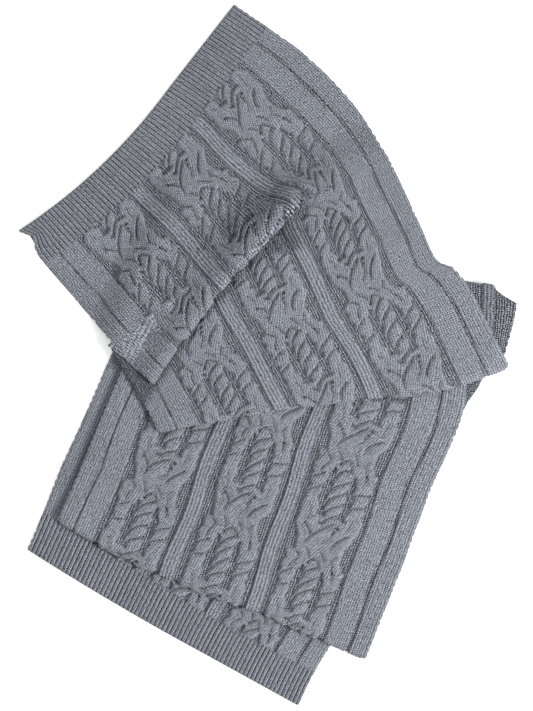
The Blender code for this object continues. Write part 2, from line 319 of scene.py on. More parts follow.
CREASES = [
    # the top of the rope
    Crease(1.0, 0.42, -0.21, 0.335, 0.0, 0.6), Crease(0.8, 0.45, 0.22, 0.335, 0.0, 0.6),
    # the left pair
    Crease(0.9, 0.40, -0.58, 0.33, -0.74, 0.7), Crease(0.8, 0.53, -0.72, 0.40, -0.58, 0.8),
    Crease(1.0, 0.68, -1.03, 0.52, -0.57, 0.8), Crease(1.0, 0.80, -1.04, 0.67, -0.55, 0.8),
    Crease(0.5, 1.02, -0.66, 0.86, -0.78, 0.5),
    # the right pair
    Crease(0.9, 0.50, 0.67, 0.41, 0.59, 0.4), Crease(0.6, 0.41, 0.59, 0.31, 0.42, 0.4),
    Crease(1.0, 0.69, 0.45, 0.58, 0.96, 0.8), Crease(1.0, 0.815, 0.45, 0.70, 1.0, 0.8),
    Crease(0.5, 1.0, 0.66, 0.86, 0.72, 0.5),
    # the crossing
    Crease(1.2, 0.25, -0.50, -0.03, 0.22, 0.35), Crease(0.8, 0.13, 0.23, -0.02, 0.28, 0.0),
    Crease(1.2, 0.22, 0.30, 0.03, 0.78, 0.35), Crease(0.9, 0.20, -0.40, 0.02, -0.76, 0.2),
    Crease(0.8, 0.36, 0.28, 0.26, 0.04, 0.2), Crease(0.7, 0.38, -0.24, 0.28, -0.42, 0.2),
    Crease(0.7, 0.33, 0.50, 0.26, 0.62, 0.3), Crease(0.6, 0.20, 0.02, 0.12, 0.24, 0.3),
]
CREASES += [
    Crease(1.1, 0.54 + ROPE_TURN * turn, -0.22, 0.40 + ROPE_TURN * turn, 0.23, 0.7)
    for turn in range(ROPE_TURNS)
]
CREASE_STEPS = 24         # points worked out along a crease
CREASE_BOW = 0.10         # and how far it bends up to the left, as a share of its length
CREASE_END = 0.35         # its ends are this share of its depth
CREASE_DEEPENS = 4.0      # and it deepens at this rate, in shares of its length
STEEP_REACH = 2.0         # the strand on top comes down to a crease over this distance
GENTLE_REACH = 4.4        # and the one under it over this one
CREASE_SHARE = 0.84       # by this share of its rise
CREASE_LIP = 0.6          # the strand on top stands higher by this much
CREASE_LINE = 0.85        # half the width of the painted shade line in it

# No two crossings are alike: each place is pulled about by this much, in waves that are this quick,
# in radians for each millimetre down and across the knit.
WOBBLE = 1.1
SIDEWAYS_DOWN, SIDEWAYS_ACROSS, SIDEWAYS_DRIFT = 0.17, 0.11, 0.05
LENGTHWAYS_DOWN, LENGTHWAYS_ACROSS = 0.07, 0.19

# Openings that the crossings pull in the knit, with painted shade in them.
Opening = namedtuple("Opening", "down across radius")
OPENINGS = (
    Opening(0.0, -0.27, 1.7), Opening(0.0, 0.33, 1.6), Opening(0.05, 0.27, 1.0),
    Opening(0.06, -0.68, 1.3), Opening(0.41, -0.22, 1.2), Opening(0.37, 0.92, 1.5),
    Opening(0.43, 0.63, 1.1), Opening(0.46, -0.34, 1.0), Opening(0.54, 0.40, 0.8),
)
OPENING_DEPTH = 3.2
OPENING_DARK = 1.5

SIDE_REACH = 3.6          # the cable is rounded down to the purl over this distance
CABLE_RISE = 3.6          # and stands this far above it
SWATCH_STEP = 0.4         # spacing of the swatch
SWATCH_MARGIN = 6.0       # purl on either side of the cable
PURL_DEPTH = -1.3         # the purl ground lies this far below the plain strips
CROSSING_SLANT = 0.62     # how far the stitches lean in the crossing
TURN_SLANT = 0.22         # and below it
CROSSING_END = 0.42       # it ends at this share of the repeat
CROSSING_BLEND = 0.1


def ribs(x, pitch, sharp):
    """Rounded ribs with narrow valleys, 0 in the valley and 1 on top."""
    return np.abs(np.sin(math.pi * x / pitch)) ** sharp


def cable_ground(down, across):
    """Where the cable stands up from the purl, as a mask over the swatch."""
    raised = np.zeros((len(down), len(across)), bool)
    for name, stops in GROUNDS.items():
        places = [stop.down for stop in stops]
        bulge = BULGES[name]
        for turn in (-1, 0, 1):
            at = down + turn
            left = through(places, [stop.left for stop in stops], at)
            right = through(places, [stop.right for stop in stops], at)
            left = left - bulge.size * (ribs(at - bulge.left_at, bulge.pitch, 1.0) - 0.5)
            right = right + bulge.size * (ribs(at - bulge.right_at, bulge.pitch, 1.0) - 0.5)
            reached = (at >= places[0]) & (at <= places[-1])
            within = (across[None, :] > left[:, None]) & (across[None, :] < right[:, None])
            raised |= reached[:, None] & within
    return raised


def nearest_distance(down_mm, across_mm, points):
    """Distance from every place of the swatch to the nearest of some points, and which it is."""
    distance = np.empty((len(down_mm), len(across_mm)))
    index = np.empty(distance.shape, int)
    for row, down in enumerate(down_mm):
        off_down = round_repeat(down - points[:, 0])
        off = np.hypot(off_down[None, :], across_mm[:, None] - points[None, :, 1])
        index[row] = off.argmin(1)
        distance[row] = off.min(1)
    return distance, index


def crease_points():
    """Points along all the creases: place in millimetres, direction up to the left, and depth."""
    points = []
    for crease in CREASES:
        t = np.linspace(0, 1, CREASE_STEPS)
        across = mix(crease.low_across, crease.high_across, mix(t, ease(t), crease.swing)) * CABLE_HALF
        down = mix(crease.low_down, crease.high_down, t) * REPEAT
        bow = CREASE_BOW * 4 * t * (1 - t)
        rise = down[-1] - down[0]
        shift = across[-1] - across[0]
        down = down - bow * abs(shift)
        across = across + bow * rise * np.sign(shift)
        run = unit(np.stack((np.gradient(down), np.gradient(across)), 1))
        ends = np.minimum(1, CREASE_END + CREASE_DEEPENS * np.minimum(t, 1 - t))
        points.append(np.stack((down, across, -run[:, 1], run[:, 0], crease.depth * ends), 1))
    return np.concatenate(points)


def cable_swatch():
    """One repeat of the cable on its purl ground: heights, stitch places and where it is purl."""
    rows = int(REPEAT / SWATCH_STEP)
    half = CABLE_HALF + SWATCH_MARGIN
    across = np.arange(-half, half + SWATCH_STEP / 2, SWATCH_STEP)
    down = np.arange(rows) * REPEAT / rows
    raised = cable_ground(down / REPEAT, across / CABLE_HALF)
    inner = raised.copy()
    for step in (-1, 1):
        inner &= np.roll(raised, step, 0) & np.roll(raised, step, 1)
    rim = np.argwhere(raised & ~inner)
    from_side, _ = nearest_distance(down, across, np.stack((down[rim[:, 0]], across[rim[:, 1]]), 1))
    rise = rounded(from_side, SIDE_REACH) * raised
    lines = crease_points()
    from_line, line = nearest_distance(down, across, lines[:, :2])
    nearest = lines[line]
    depth = nearest[..., 4]
    off_down = round_repeat(down[:, None] - nearest[..., 0])
    side = np.sign(off_down * nearest[..., 2] + (across[None, :] - nearest[..., 1]) * nearest[..., 3])
    reach = np.where(side > 0, STEEP_REACH, GENTLE_REACH)
    rise = rise * (1 - CREASE_SHARE * depth * (1 - rounded(from_line, reach)))
    lip = np.maximum(side, 0) * depth * CREASE_LIP * falling(from_line - STEEP_REACH, STEEP_REACH)
    height = CABLE_RISE * rise + lip * rise
    # painted shade: a dark line along each crease
    dark = falling(from_line, CREASE_LINE) * depth * raised
    for opening in OPENINGS:
        off_down = round_repeat(down[:, None] - opening.down * REPEAT)
        hole = falling(np.hypot(off_down, across[None, :] - opening.across * CABLE_HALF), opening.radius)
        height = height - OPENING_DEPTH * hole
        # painted shade in the opening
        dark = np.maximum(dark, OPENING_DARK * hole)
    crossing = ease(down / REPEAT / CROSSING_BLEND) * ease((CROSSING_END - down / REPEAT) / CROSSING_BLEND)
    shift = np.cumsum(mix(TURN_SLANT, CROSSING_SLANT, crossing)) * REPEAT / rows
    return {
        "across": across,
        "height": soften(height, 1),
        "crease": dark,
        "wale": (across[None, :] + shift[:, None]) / STITCH_WIDTH,
        "course": np.repeat(down[:, None] / STITCH_HEIGHT, len(across), 1),
        "purl": (~raised).astype(float),
    }


def soften(heights, times):
    """A small blur that wraps along the repeat."""
    for _ in range(times):
        heights = (np.roll(heights, 1, 0) + 2 * heights + np.roll(heights, -1, 0)) / 4
        padded = np.pad(heights, ((0, 0), (1, 1)), "edge")
        heights = (padded[:, :-2] + 2 * heights + padded[:, 2:]) / 4
    return heights


SWATCH = cable_swatch()


def read_swatch(layer, across, down, smooth=True):
    """A swatch layer at places across the cable and down the repeat, both in millimetres."""
    data = SWATCH[layer]
    rows, columns = data.shape
    y = (down / REPEAT % 1.0) * rows
    x = np.clip((across - SWATCH["across"][0]) / SWATCH_STEP, 0, columns - 1.001)
    if not smooth:
        return data[np.round(y).astype(int) % rows, np.round(x).astype(int)]
    y0 = y.astype(int)
    x0 = x.astype(int)
    fy = y - y0
    fx = x - x0
    y1 = (y0 + 1) % rows
    y0 = y0 % rows
    top = mix(data[y0, x0], data[y0, x0 + 1], fx)
    bottom = mix(data[y1, x0], data[y1, x0 + 1], fx)
    return mix(top, bottom, fy)


def band(x, start, end, soft):
    """1 between start and end, falling to 0 over soft outside them."""
    return ease((x - start) / soft + 1) * ease((end - x) / soft + 1)


def stripes(x, places, soft):
    return sum(band(x, place.start, place.end, soft) for place in places)


def knit(across, down, end_rib):
    """Height, purl share, painted shade and stitch places of the knit. across runs from the left edge to
    the right, down is the place along the cable repeat, and end_rib is how far into a ribbed end it is."""
    from_edge = np.minimum(across, WIDTH - across)
    wave = STRIPE_WAVE * np.sin(2 * math.pi * (down / REPEAT - WAVE_START)) * ease(from_edge / WAVE_CLEAR)
    pulled = across + wave * np.sign(across - CABLE_CENTRES[1])
    centres = np.array(CABLE_CENTRES)
    nearest = centres[np.abs(across[..., None] - centres).argmin(-1)]
    sideways = np.sin(down * SIDEWAYS_DOWN + nearest)
    sideways = sideways * np.sin(across * SIDEWAYS_ACROSS + down * SIDEWAYS_DRIFT)
    from_cable = across - nearest + WOBBLE * sideways
    pulled_down = down + WOBBLE * np.sin(across * LENGTHWAYS_ACROSS + down * LENGTHWAYS_DOWN + nearest)
    in_panel = np.abs(from_cable) < CABLE_HALF + SWATCH_MARGIN - 1
    divider = stripes(pulled, DIVIDERS, DIVIDER_SOFT)
    strip = stripes(pulled, PLAIN_STRIPS, STRIP_SOFT)
    edge = stripes(pulled, EDGE_BANDS, EDGE_SOFT)
    plain = np.clip(divider + strip + edge, 0, 1)
    height = np.where(in_panel, PURL_DEPTH + read_swatch("height", from_cable, pulled_down), PURL_DEPTH)
    in_cable = in_panel & (plain < 0.5)
    purl = np.where(in_panel, read_swatch("purl", from_cable, pulled_down, False), 1.0) * (1 - plain)
    crease = np.where(in_cable, read_swatch("crease", from_cable, pulled_down), 0.0)
    # painted shade on the plain stripes
    crease = crease + PLAIN_SHADE * plain
    knitted = in_cable & (purl < 0.5)
    wale = np.where(knitted, read_swatch("wale", from_cable, pulled_down), across / STITCH_WIDTH)
    height = height + np.where(knitted, COLUMN_RELIEF * (ribs(wale, 1.0, 1.0) - RIB_MIDDLE), 0.0)
    in_divider = pulled - DIVIDERS[0].start
    height = mix(height, DIVIDER_RISE + DIVIDER_RIB * ribs(in_divider, DIVIDER_PITCH, 1.0), divider)
    height = mix(height, STRIP_RISE, strip)
    height = mix(height, EDGE_RISE + EDGE_RIB * ribs(from_edge, EDGE_PITCH, EDGE_ROUND), edge)
    wale = np.where(divider > 0.5, in_divider / DIVIDER_PITCH, wale)
    course = np.where(knitted, read_swatch("course", from_cable, pulled_down, False), down / STITCH_HEIGHT)
    ribbed = ease(end_rib / RIB_BLEND + 0.5)
    height = mix(height, RIB_RISE * ribs(across, RIB_PITCH, RIB_ROUND) + RIB_VALLEY, ribbed)
    purl = purl * (1 - ribbed)
    # painted shade in the end ribs' valleys
    crease = mix(crease, RIB_DARK * (1 - ribs(across, RIB_PITCH, 1.0)) ** 2, ribbed)
    wale = np.where(ribbed > 0.5, across / RIB_PITCH * 2, wale)
    edge_curl = -EDGE_CURL * (1 - ease(from_edge / EDGE_CURL_WIDTH))
    end_curl = -END_CURL * ease((end_rib - RIB_DEPTH + END_CURL_WIDTH) / END_CURL_WIDTH)
    return height + edge_curl + end_curl, purl, crease, wale, course


# ---------------------------------------------------------------------------------------------
# Where the cloth lies.

def bowed(start, end, share, bow):
    """Places at shares of the way from start to end, on a line that bows to the right of it."""
    along = unit(end - start)
    return mix(start, end, share) + np.array((along[1], -along[0])) * bow * 4 * share * (1 - share)


def on_courses(courses, u):
    """Plan places and knit place of every course at every u: an array (course, u, 3)."""
    u = np.asarray(u, float)[:, None]
    share = np.clip(u / CREASE_AT, 0, 1)
    past = np.clip((u - CREASE_AT) / (1 - CREASE_AT), 0, 1)
    rows = []
    for course in courses:
        left = np.array((course.left_x, course.left_y), float)
        crease = np.array((course.crease_x, course.crease_y), float)
        right = np.array((course.right_x, course.right_y), float)
        place = np.where(u > CREASE_AT, bowed(crease, right, past, course.right_bow),
                         bowed(left, crease, share, course.bow))
        knit_place = np.where(u > CREASE_AT, mix(course.knit_crease, course.knit_right, past),
                              mix(course.knit_left, course.knit_crease, share))
        rows.append(np.concatenate((place, knit_place), 1))
    return np.array(rows)


def column_by_column(courses, positions):
    """Rows read from places on courses, each column at its own positions."""
    columns = [smooth_table(courses[:, k], positions[..., k]) for k in range(courses.shape[1])]
    return np.stack(columns, -2)


def row_places(courses, spacings):
    """Positions, counted in courses, of the rows of a mesh: evenly spaced between two courses.
    spacings is one distance, or one for each course but the last."""
    spacings = np.broadcast_to(spacings, len(courses) - 1)
    places = [0.0]
    for k, (near, far) in enumerate(zip(courses, courses[1:])):
        lengths = (
            math.hypot(far.left_x - near.left_x, far.left_y - near.left_y),
            math.hypot(far.crease_x - near.crease_x, far.crease_y - near.crease_y),
            math.hypot(far.right_x - near.right_x, far.right_y - near.right_y),
        )
        count = max(1, int(round(max(lengths) / spacings[k])))
        places += [k + (j + 1) / count for j in range(count)]
    return np.array(places)


def outside(side, x, y):
    """Distance of a plan point past a side, which is listed with the pile on its right."""
    length = math.hypot(side.to_x - side.from_x, side.to_y - side.from_y)
    along_x = (side.to_x - side.from_x) / length
    along_y = (side.to_y - side.from_y) / length
    return -along_y * (x - side.from_x) + along_x * (y - side.from_y)


def layer_height(x, y, layers, overhanging, slope):
    """Middle of a layer above the table."""
    pile = 1 - ease(outside(REAR_FOLD, x, y) / PILE_SLOPE)
    pile = pile * (1 - ease(outside(LEFT_EDGES, x, y) / PILE_SLOPE))
    supported = 1 - ease(outside(RIGHT_EDGES, x, y) / slope)
    plies = overhanging + (layers - overhanging) * supported
    return WALL / 2 + plies * PLY * pile


def headings(path):
    """Unit directions in which the columns of a path end."""
    return unit(path[-1, :, :2] - path[-2, :, :2])


def distance_to_end(path):
    """Plan distance from each row of a path to its last row."""
    steps = np.linalg.norm(np.diff(path[:, :, :2], axis=0), axis=2)
    return np.concatenate((np.cumsum(steps[::-1], 0)[::-1], np.zeros((1, path.shape[1]))))


def corner_rounding(across):
    """Share of its reach that a fold keeps: less near the selvages, where its corners are round."""
    from_edge = np.clip(np.minimum(across, WIDTH - across) / FOLD_CORNER, 0, 1)
    return mix(FOLD_LEAST, 1.0, np.sqrt(1 - (1 - from_edge) ** 2))


def round_fold(path, across, top, below, reach):
    """Rows round a fold at the end of a path and the tail under it. below is the height of the
    layer that the cloth turns to."""
    direction = headings(path)
    reach = reach * corner_rounding(across)[:, None]
    edge = path[-1]
    rows = []
    heights = []
    for k in range(1, ROLL_STEPS + 1):
        angle = math.pi * k / ROLL_STEPS
        place = edge[:, :2] + direction * reach * math.sin(angle)
        rows.append(np.concatenate((place, edge[:, 2:] + FOLD_KNIT * k), 1))
        heights.append(mix(top, below, (1 - math.cos(angle)) / 2))
    for k in range(1, TAIL_ROWS + 1):
        share = k / TAIL_ROWS
        place = edge[:, :2] - direction * TAIL * share
        rows.append(np.concatenate((place, edge[:, 2:] + FOLD_KNIT * ROLL_STEPS + TAIL * share), 1))
        heights.append(below)
    return np.array(rows), np.array(heights)


def fold_swell(path):
    """How far the cloth swells on the way to the fold at its end."""
    return FOLD_SWELL * falling(distance_to_end(path) - FOLD_SWELL_AT, FOLD_SWELL_LENGTH)


def loudness(heights):
    """How loud the relief is: full, and none on the underside of the fold at the end."""
    loud = np.ones(heights.shape)
    loud[-TAIL_ROWS - ROLL_STEPS // 2:] = 0
    return loud


def folded_end(path, heights, across, below, reach):
    """The path and heights with a fold at their end, their loudness and the row the fold starts at."""
    turned, turned_heights = round_fold(path, across, heights[-1], below, reach)
    fold = len(path)
    path = np.concatenate((path, turned))
    heights = np.concatenate((heights, turned_heights))
    return path, heights, loudness(heights), fold


def surface_normals(points):
    """Upward normals of a grid of points (row, column, 3), rows running down and columns across."""
    return unit(np.cross(np.gradient(points, axis=0), np.gradient(points, axis=1)))


# ---------------------------------------------------------------------------------------------
# Turning a laid surface into a closed piece of cloth.

def grid_piece(name, rows, columns):
    bpy.ops.object.select_all(action="DESELECT")
    bpy.ops.mesh.primitive_grid_add(x_subdivisions=columns - 1, y_subdivisions=rows - 1, size=1.0)
    piece = bpy.context.object
    piece.name = name
    piece.data.name = name
    return piece


def stitch_map(mesh):
    """The mesh's map of its stitches, in place of the primitive's own maps."""
    for layer in list(mesh.uv_layers):
        mesh.uv_layers.remove(layer)
    return mesh.uv_layers.new(name="Stitches")


def sparse(count, step, keep=()):
    """Every step-th index and the last, with every one in the ranges to keep."""
    chosen = set(range(0, count, step)) | {count - 1}
    for start, end, finer in keep:
        chosen |= set(range(max(0, start), min(count, end), finer))
    return sorted(chosen)


def cloth_piece(name, laid, relief, uv, marks, back_rows, back_columns):
    """A closed sheet. laid is the middle of the cloth, relief the knit's height above its face."""
    rows, columns = laid.shape[:2]
    normal = surface_normals(laid)
    face = laid + normal * (WALL / 2 + relief)[:, :, None]
    back = laid - normal * (WALL / 2)
    face[:, :, 2] = np.maximum(face[:, :, 2], LEAST_HEIGHT)
    back[:, :, 2] = np.maximum(back[:, :, 2], 0.0)
    piece = grid_piece(name, rows, columns)
    mesh = piece.data
    upward = face[::-1].reshape(-1, 3) * MM
    mesh.vertices.foreach_set("co", upward.ravel())
    shaper = bmesh.new()
    shaper.from_mesh(mesh)
    shaper.verts.ensure_lookup_table()
    for polygon in shaper.faces:
        polygon.smooth = True

    def face_vert(row, column):
        return shaper.verts[(rows - 1 - row) * columns + column]

    under = {}
    order = []
    for row in back_rows:
        for column in back_columns:
            under[row, column] = shaper.verts.new(back[row, column] * MM)
            order.append(row * columns + column)
    shaper.verts.ensure_lookup_table()
    for row, next_row in zip(back_rows, back_rows[1:]):
        for column, next_column in zip(back_columns, back_columns[1:]):
            shaper.faces.new((under[row, column], under[row, next_column],
                              under[next_row, next_column], under[next_row, column])).smooth = True
    for column, next_column in zip(back_columns, back_columns[1:]):
        top = [face_vert(0, k) for k in range(column, next_column + 1)]
        shaper.faces.new(top + [under[0, next_column], under[0, column]])
        bottom = [face_vert(rows - 1, k) for k in range(next_column, column - 1, -1)]
        shaper.faces.new(bottom + [under[rows - 1, column], under[rows - 1, next_column]])
    last = columns - 1
    for row, next_row in zip(back_rows, back_rows[1:]):
        left = [face_vert(k, 0) for k in range(next_row, row - 1, -1)]
        shaper.faces.new(left + [under[row, 0], under[next_row, 0]])
        right = [face_vert(k, last) for k in range(row, next_row + 1)]
        shaper.faces.new(right + [under[next_row, last], under[row, last]])
    shaper.to_mesh(mesh)
    shaper.free()
    mesh.update()

    def by_vertex(values):
        flat = values.reshape(rows * columns, -1)
        return np.concatenate((values[::-1].reshape(rows * columns, -1), flat[order]))

    loops = np.empty(len(mesh.loops), int)
    mesh.loops.foreach_get("vertex_index", loops)
    stitch_map(mesh).data.foreach_set("uv", by_vertex(uv)[loops].ravel())
    for mark, values in marks.items():
        attribute = mesh.attributes.new(mark, "FLOAT", "POINT")
        attribute.data.foreach_set("value", by_vertex(values).ravel())
    return piece


def scalloped(path, across):
    """Moves the columns next to a selvage in and out, as each pair of edge stitches pulls."""
    path = path.copy()
    inward = unit(np.gradient(path[:, :, :2], axis=1))
    wave = ribs(path[:, :, 2], SCALLOP_PITCH, 1.0) - RIB_MIDDLE
    near = falling(WIDTH - across, SCALLOP_REACH) - falling(across, SCALLOP_REACH)
    path[:, :, :2] += inward * (wave * near[None, :] * SCALLOP)[:, :, None]
    return path


# Painted shade: the hollow mark darkens places that lie below the knit round them, and the creases.
HOLLOW_SPREAD = 3         # times that the relief is blurred to find what is round a place
HOLLOW_FULL = 1.8         # a place this far below what is round it gets the fullest painted shade
CREASE_DARK = 1.0


def hollow_share(relief):
    """How deep each place lies below the knit round it, 0 to 1."""
    wide = relief.copy()
    for _ in range(HOLLOW_SPREAD):
        padded = np.pad(wide, 1, "edge")
        wide = (padded[:-2, 1:-1] + padded[2:, 1:-1] + padded[1:-1, :-2] + padded[1:-1, 2:] + 2 * wide) / 6
    return np.clip((wide - relief) / HOLLOW_FULL, 0, 1)


def finish_cloth(name, path, heights, across, end_rib, loud, back_rows, back_columns, wrong_side=False,
                 shade=0.0):
    """Knits a laid path (row, column, x y knit) and makes it a piece. loud is the share of the relief
    that each place keeps, and shade is the painted shade it gets besides the painted shade of its own
    hollows."""
    path = scalloped(path, across)
    laid = np.concatenate((path[:, :, :2], heights[:, :, None]), 2)
    across = np.repeat(across[None, :], len(path), 0)
    down = path[:, :, 2]
    relief, purl, crease, wale, course = knit(across, down, end_rib)
    if wrong_side:
        rib = stripes(across, (WRONG_SIDE_RIB,), DIVIDER_SOFT)
        in_rib = across - WRONG_SIDE_RIB.start
        rib_relief = STRIP_RISE + DIVIDER_RIB * ribs(in_rib, DIVIDER_PITCH, 1.0)
        relief = mix(WRONG_SIDE_RELIEF * relief, rib_relief, rib)
        purl = 1 - rib
        wale = np.where(rib > 0.5, in_rib / DIVIDER_PITCH, wale)
    relief = relief * loud
    # the hollow mark is painted shade: in hollows of the relief, in creases, and the shade passed in
    hollow = hollow_share(relief) + CREASE_DARK * crease * loud + shade
    marks = {"purl": purl, "hollow": np.clip(hollow, 0, 1)}
    uv = np.stack((wale, course), 2)
    if wrong_side:
        laid = laid[:, ::-1]
        relief = relief[:, ::-1]
        uv = uv[:, ::-1]
        marks = {mark: values[:, ::-1] for mark, values in marks.items()}
    return cloth_piece(name, laid, relief, uv, marks, back_rows, back_columns)


# ---------------------------------------------------------------------------------------------
# The stretches.

# The pleat. Shares are of the width, from the left edge.
RIDGE_LIFT = 10.5         # its crest stands this far above the cloth in front of it
APEX_LIFT = 3.5           # and this much more at its highest
APEX_AT = 0.53
APEX_WIDTH = 0.11
FULL_TO = 0.62            # it keeps its height up to here
FULL_FADE = 0.09          # and loses it over this share
OPEN_FROM = 0.60          # the cloth under it starts to open out here
OPEN_FADE = 0.06
OPEN_SKIP = 0.32          # once open, it takes this share of the first course in front of the crest
RIDGE_COVER = 45.0        # the cloth behind the crest stays up for this length
RIDGE_RISE = 60.0         # and comes down over this one
OPEN_RISE = 34.0          # or this one where the pleat is open
ROLL_LENGTH = 15.0        # it comes up to the crest in a roll this long
ROLL_SHARE = 0.6          # by this share of its lift
HOLLOW_DEPTH = 6.0        # it sags behind the apex by this much
HOLLOW_LEAST = 0.35       # and by this share of it elsewhere
HOLLOW_AT = 32.0          # this far from the crest
HOLLOW_LENGTH = 20.0
# painted shade in the sag behind the apex, and the share of it kept elsewhere
HOLLOW_DARK = 0.8
HOLLOW_DARK_LEAST = 0.4
FOOT_DARK = 0.9           # painted shade: the cloth in front of the pleat is darkened this much at its foot
FOOT_REACH = 6.0          # and clears over this distance
ROLL_COVER = 12.0         # the crest hides this much of the cloth in front of it

# The beak at the corner of the ribbed end: the selvage is drawn in beside it.
BEAK_AT = -162.0
BEAK_LENGTH = 10.0
BEAK_WIDTH = 17.0
BEAK_PULL = (5.0, 5.0)

# The nose: near its end the crest leans out over the cloth in front of it.
NOSE_AT = 0.61
NOSE_WIDTH = 0.08
NOSE_FAR_WIDTH = 0.13     # on its right
NOSE_PULL = (14.0, 15.0)
NOSE_LENGTH = 26.0
NOSE_QUIET = 0.75         # the stitches are stretched smooth round its front
NOSE_FRONT_DARK = 0.4     # which gets a little painted shade
NOSE_EDGE = 0.645         # and its steep right side gets painted shade
NOSE_EDGE_WIDTH = 0.03
NOSE_DARK = 0.8

# The knob in which the crest ends, with a painted shade line round its free side.
KNOB_AT = (20.0, 164.0)
KNOB_RADIUS = 17.0
KNOB_SOFT = 12.0
KNOB_LIFT = 4.0
KNOB_DARK = 0.6
KNOB_LINE = 1.7
KNOB_FREE = 0.2           # the line starts this far left of the middle, in radii


def from_knob(path):
    return np.hypot(path[..., 0] - KNOB_AT[0], path[..., 1] - KNOB_AT[1])


def knob_line(path):
    """The painted shade line round the knob's free side."""
    free = ease((path[..., 0] - KNOB_AT[0]) / KNOB_RADIUS + KNOB_FREE)
    return KNOB_DARK * free * falling(from_knob(path) - KNOB_RADIUS, KNOB_LINE)


def upper_height(path, rise):
    """Height of the upper stretch, which rises by so much from where it would lie flat."""
    flat = layer_height(path[..., 0], path[..., 1], UPPER, 1, UPPER_SLOPE)
    return flat + rise + KNOB_LIFT * rounded(KNOB_RADIUS - from_knob(path), KNOB_SOFT)


def tucked_cloth(crest, forward, lift, opened, nose, after_courses):
    """Rows from the crest round and back under it, and round again to the cloth in front of it. Where
    the pleat is open they are spread over the slope instead."""
    root = after_courses[0]
    count = 2 * ROLL_STEPS + TUCK_STEPS
    rows = []
    heights = []
    for k in range(1, count):
        share = k / count
        if k <= ROLL_STEPS:
            angle = math.pi * k / ROLL_STEPS
            place = crest[:, :2] + forward * ROLL_REACH * math.sin(angle)
            rise = mix(lift, PLY, (1 - math.cos(angle)) / 2)
        elif k < ROLL_STEPS + TUCK_STEPS:
            place = mix(crest[:, :2], root[:, :2], (k - ROLL_STEPS) / TUCK_STEPS)
            rise = PLY
        else:
            angle = math.pi * (k - ROLL_STEPS - TUCK_STEPS) / ROLL_STEPS
            place = root[:, :2] - forward * PLY / 2 * math.sin(angle)
            rise = PLY * (1 + math.cos(angle)) / 2
        folded = np.concatenate((place, mix(crest[:, 2:], root[:, 2:], share)), 1)
        spread = column_by_column(after_courses, OPEN_SKIP * opened * share)
        spread[:, :2] += nose * (1 - ease(share))
        row = mix(folded, spread, opened[:, None])
        rows.append(row)
        heights.append(upper_height(row, mix(rise, lift * (1 - ease(share)), opened)))
    return np.array(rows), np.array(heights)


def upper_surface(u):
    """The whole upper stretch: its path, heights, loudness and painted shade, and the rows of its crest,
    its root and its fold."""
    opened = ease((u - OPEN_FROM) / OPEN_FADE)
    fullness = 1 - ease((u - FULL_TO) / FULL_FADE)
    apex = falling(u - APEX_AT, APEX_WIDTH)
    lift = RIDGE_LIFT * fullness + APEX_LIFT * apex * fullness

    before = smooth_table(on_courses(BEFORE_PLEAT, u), row_places(BEFORE_PLEAT, GRID))
    beak = falling(u * WIDTH, BEAK_WIDTH) * falling(before[..., 2] - BEAK_AT, BEAK_LENGTH)
    before[..., :2] += beak[..., None] * np.array(BEAK_PULL)
    from_crest = distance_to_end(before)
    nose_width = np.where(u < NOSE_AT, NOSE_WIDTH, NOSE_FAR_WIDTH)
    nose = falling(u - NOSE_AT, nose_width)[:, None] * np.array(NOSE_PULL)
    before[..., :2] += nose * falling(from_crest, NOSE_LENGTH)[..., None]
    broad = 1 - ease((from_crest - RIDGE_COVER * (1 - opened)) / mix(RIDGE_RISE, OPEN_RISE, opened))
    roll = falling(from_crest, ROLL_LENGTH)
    in_hollow = falling(from_crest - HOLLOW_AT, HOLLOW_LENGTH)
    sag = in_hollow * mix(HOLLOW_LEAST, 1.0, apex) * HOLLOW_DEPTH
    before_heights = upper_height(before, lift * mix(broad, roll, ROLL_SHARE) - sag)

    after_courses = on_courses(AFTER_PLEAT, u)
    after_rows = row_places(AFTER_PLEAT, GRID)[:, None]
    after = column_by_column(after_courses, after_rows + OPEN_SKIP * opened * np.clip(1 - after_rows, 0, 1))
    after_heights = upper_height(after, fold_swell(after))
    tucked, tucked_heights = tucked_cloth(before[-1], headings(before), lift, opened, nose, after_courses)
    below = layer_height(after[-1, :, 0], after[-1, :, 1], UPPER_RETURN, 0, RETURN_SLOPE)
    turned, turned_heights = round_fold(after, u * WIDTH, after_heights[-1], below, ROLL_REACH)

    path = np.concatenate((before, tucked, after, turned))
    heights = np.concatenate((before_heights, tucked_heights, after_heights, turned_heights))
    crest = len(before)
    root = crest + len(tucked)
    fold = root + len(after)
    on_roll = np.zeros(heights.shape)
    on_roll[:crest] = falling(from_crest, ROLL_REACH)
    on_roll[crest:root] = 1
    bulging = falling(u - NOSE_AT, NOSE_FAR_WIDTH) * on_roll
    loud = loudness(heights)
    loud[crest + ROLL_STEPS // 2:root] = opened
    loud = loud * (1 - NOSE_QUIET * bulging)

    # painted shade: the knob's line, the nose's steep side and front, the sag behind the apex and the
    # pleat's foot
    shade = knob_line(path) + NOSE_DARK * falling(u - NOSE_EDGE, NOSE_EDGE_WIDTH) * on_roll
    shade[:crest] += HOLLOW_DARK * in_hollow * mix(HOLLOW_DARK_LEAST, 1.0, apex)
    shade[crest:crest + ROLL_STEPS] += NOSE_FRONT_DARK * bulging[crest:crest + ROLL_STEPS]
    from_root = np.cumsum(np.linalg.norm(np.gradient(after[..., :2], axis=0), axis=2), 0)
    covered = np.linalg.norm(before[-1, :, :2] - after_courses[0, :, :2], axis=1) + ROLL_COVER
    from_foot = np.maximum(from_root - covered, 0)
    shade[root:fold] += FOOT_DARK * falling(from_foot, FOOT_REACH) * (1 - opened)
    return path, heights, loud, shade, (crest, root, fold)


def columns_between(start, end, spacing):
    return np.linspace(start, end, max(2, round((end - start) * WIDTH / spacing)) + 1)


def seamed(name, build):
    """The three meshes of a stretch: left, centre and right."""
    parts = zip((name + "_left", name + "_centre", name + "_right"), SEAMS, SEAMS[1:])
    return [build(part, columns_between(start, end, GRID)) for part, start, end in parts]


